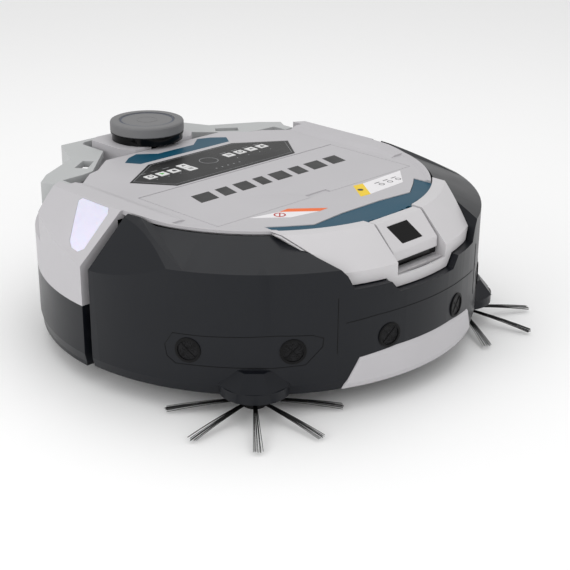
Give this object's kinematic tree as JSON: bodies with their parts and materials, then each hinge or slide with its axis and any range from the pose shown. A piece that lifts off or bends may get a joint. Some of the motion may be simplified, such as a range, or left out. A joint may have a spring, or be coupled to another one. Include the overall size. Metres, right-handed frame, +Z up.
{
  "type": "robotic floor cleaner",
  "caption": "Round robotic floor cleaner with sprung bumper, side brushes, main brush, drive wheels, hinged dust lid, scanner turret and rear carry handle.",
  "frame": {"origin": "on the floor below the middle of the round body", "axes": "+Z up; the front with its camera faces -Y; +X is to the right for someone who looks at the front"},
  "size_m": [0.5126, 0.5154, 0.201],
  "materials": {
    "light_grey_abs": "fine moulded texture",
    "visor_grey": "fine moulded texture",
    "charcoal": "satin moulded",
    "teal": "satin moulded",
    "black_gloss": "gloss",
    "black_matte": "matt",
    "lamp_lens": "frosted",
    "cap_grey": "satin",
    "key_white": "satin",
    "bristle": "nylon",
    "tyre": "matt",
    "steel": "brushed",
    "board": "solder mask",
    "filter_paper": "pleated",
    "smoke": "smoked",
    "battery_black": "matt",
    "engine_red": "matt"
  },
  "bodies": {
    "chassis": {"base_chassis": "charcoal", "rear_lower_shell": "charcoal", "upper_shell": "light_grey_abs", "lidar_tower": "light_grey_abs", "visor": "visor_grey", "camera_hood": "visor_grey", "camera_window": "black_gloss", "front_vent_trim": "teal", "rear_trim": "teal", "control_panel": "black_gloss", "side_lamp_left": "lamp_lens", "side_lamp_right": "lamp_lens", "lidar_window": "black_gloss", "lidar_motor": "steel", "dust_box": "smoke", "hepa_filter": "filter_paper", "fan_housing": "black_matte", "battery_left": "battery_black", "battery_right": "battery_black", "main_board": "board", "brush_motor": "steel", "side_brush_motors": "black_matte", "cliff_sensors": "black_gloss", "chassis_screws": "steel"},
    "bumper": {"bumper_shell": "charcoal", "front_chin": "light_grey_abs", "sonar_bezels": "black_matte", "sonar_discs": "black_matte", "bumper_springs": "steel"},
    "side_brush_left": {"side_brush_left_hub": "black_matte", "side_brush_left_tufts": "bristle"},
    "side_brush_right": {"side_brush_right_hub": "black_matte", "side_brush_right_tufts": "bristle"},
    "main_brush": {"main_brush_core": "black_matte", "main_brush_bristles": "bristle", "main_brush_gear": "key_white"},
    "pinion": {"brush_motor_pinion": "steel"},
    "arm_left": {"wheel_arm_left": "black_matte"},
    "arm_right": {"wheel_arm_right": "black_matte"},
    "wheel_left": {"wheel_hub_left": "cap_grey", "tyre_left": "tyre"},
    "wheel_right": {"wheel_hub_right": "cap_grey", "tyre_right": "tyre"},
    "caster": {"caster_fork": "black_matte"},
    "caster_roller": {"caster_wheel": "cap_grey"},
    "lid": {"dust_lid": "light_grey_abs"},
    "scanner_rotor": {"lidar_rotor": "black_matte"},
    "scanner_cap": {"lidar_cap": "cap_grey"},
    "handle": {"carry_handle": "light_grey_abs"},
    "impeller": {"fan_impeller": "engine_red"},
    "rear_cover": {"battery_cover": "charcoal"},
    "key_left_a": {"key_left_a": "key_white"},
    "key_left_b": {"key_left_b": "key_white"},
    "key_left_c": {"key_left_c": "key_white"},
    "key_left_d": {"key_left_d": "key_white"},
    "key_left_e": {"key_left_e": "key_white"},
    "key_right_a": {"key_right_a": "key_white"},
    "key_right_b": {"key_right_b": "key_white"},
    "key_right_c": {"key_right_c": "key_white"},
    "key_right_d": {"key_right_d": "key_white"}
  },
  "joints": [
    {"name": "bumper_press", "type": "slide", "parent": "chassis", "child": "bumper", "axis": [0, 1, 0], "range_m": [0, 0.008], "stiffness_N_per_m": 600, "springref_m": -0.002, "deforming": ["bumper_springs"]},
    {"name": "side_brush_left_spin", "type": "hinge", "parent": "chassis", "child": "side_brush_left", "pos_m": [-0.16617, -0.16617, 0.02], "axis": [0, 0, 1], "continuous": true},
    {"name": "side_brush_right_spin", "type": "hinge", "parent": "chassis", "child": "side_brush_right", "pos_m": [0.16617, -0.16617, 0.02], "axis": [0, 0, 1], "continuous": true},
    {"name": "main_brush_spin", "type": "hinge", "parent": "chassis", "child": "main_brush", "pos_m": [0, -0.075, 0.024], "axis": [1, 0, 0], "continuous": true},
    {"name": "pinion_spin", "type": "hinge", "parent": "chassis", "child": "pinion", "pos_m": [-0.1075, -0.08657, 0.03779], "axis": [1, 0, 0], "continuous": true},
    {"name": "arm_left_drop", "type": "hinge", "parent": "chassis", "child": "arm_left", "pos_m": [-0.128, 0.07, 0.052], "axis": [1, 0, 0], "range_deg": [0, 9.5], "stiffness_Nm_per_rad": 0.7, "springref_deg": 40.11},
    {"name": "wheel_left_spin", "type": "hinge", "parent": "arm_left", "child": "wheel_left", "pos_m": [-0.148, 0, 0.042], "axis": [1, 0, 0], "continuous": true},
    {"name": "arm_right_drop", "type": "hinge", "parent": "chassis", "child": "arm_right", "pos_m": [0.128, 0.07, 0.052], "axis": [1, 0, 0], "range_deg": [0, 9.5], "stiffness_Nm_per_rad": 0.7, "springref_deg": 40.11},
    {"name": "wheel_right_spin", "type": "hinge", "parent": "arm_right", "child": "wheel_right", "pos_m": [0.148, 0, 0.042], "axis": [1, 0, 0], "continuous": true},
    {"name": "caster_swivel", "type": "hinge", "parent": "chassis", "child": "caster", "pos_m": [0, 0.17, 0.035], "axis": [0, 0, 1], "continuous": true},
    {"name": "caster_roll", "type": "hinge", "parent": "caster", "child": "caster_roller", "pos_m": [0, 0.178, 0.014], "axis": [1, 0, 0], "continuous": true},
    {"name": "lid_open", "type": "hinge", "parent": "chassis", "child": "lid", "pos_m": [0, 0.0269, 0.1725], "axis": [-1, 0, 0], "range_deg": [0, 80]},
    {"name": "scanner_spin", "type": "hinge", "parent": "chassis", "child": "scanner_rotor", "pos_m": [0, 0.1955, 0.18], "axis": [0, 0, 1], "continuous": true},
    {"name": "scanner_cap_press", "type": "slide", "parent": "chassis", "child": "scanner_cap", "axis": [0, 0, -1], "range_m": [0, 0.0015], "stiffness_N_per_m": 3000, "springref_m": -0.0005},
    {"name": "handle_lift", "type": "hinge", "parent": "chassis", "child": "handle", "pos_m": [0, 0.1215, 0.16], "axis": [1, 0, 0], "range_deg": [0, 90]},
    {"name": "fan_spin", "type": "hinge", "parent": "chassis", "child": "impeller", "pos_m": [0, 0.05, 0.112], "axis": [0, 1, 0], "continuous": true},
    {"name": "battery_cover_open", "type": "hinge", "parent": "chassis", "child": "rear_cover", "pos_m": [-0.1114, 0.22381, 0.056], "axis": [0, 0, 1], "range_deg": [0, 100]},
    {"name": "key_left_a_press", "type": "slide", "parent": "chassis", "child": "key_left_a", "axis": [0, 0, -1], "range_m": [0, 0.0004], "stiffness_N_per_m": 500, "springref_m": -0.0002},
    {"name": "key_left_b_press", "type": "slide", "parent": "chassis", "child": "key_left_b", "axis": [0, 0, -1], "range_m": [0, 0.0004], "stiffness_N_per_m": 500, "springref_m": -0.0002},
    {"name": "key_left_c_press", "type": "slide", "parent": "chassis", "child": "key_left_c", "axis": [0, 0, -1], "range_m": [0, 0.0004], "stiffness_N_per_m": 500, "springref_m": -0.0002},
    {"name": "key_left_d_press", "type": "slide", "parent": "chassis", "child": "key_left_d", "axis": [0, 0, -1], "range_m": [0, 0.0004], "stiffness_N_per_m": 500, "springref_m": -0.0002},
    {"name": "key_left_e_press", "type": "slide", "parent": "chassis", "child": "key_left_e", "axis": [0, 0, -1], "range_m": [0, 0.0004], "stiffness_N_per_m": 500, "springref_m": -0.0002},
    {"name": "key_right_a_press", "type": "slide", "parent": "chassis", "child": "key_right_a", "axis": [0, 0, -1], "range_m": [0, 0.0004], "stiffness_N_per_m": 500, "springref_m": -0.0002},
    {"name": "key_right_b_press", "type": "slide", "parent": "chassis", "child": "key_right_b", "axis": [0, 0, -1], "range_m": [0, 0.0004], "stiffness_N_per_m": 500, "springref_m": -0.0002},
    {"name": "key_right_c_press", "type": "slide", "parent": "chassis", "child": "key_right_c", "axis": [0, 0, -1], "range_m": [0, 0.0004], "stiffness_N_per_m": 500, "springref_m": -0.0002},
    {"name": "key_right_d_press", "type": "slide", "parent": "chassis", "child": "key_right_d", "axis": [0, 0, -1], "range_m": [0, 0.0004], "stiffness_N_per_m": 500, "springref_m": -0.0002}
  ],
  "couplings": [
    {"joint": "pinion_spin", "follows": "main_brush_spin", "ratio": -2}
  ]
}
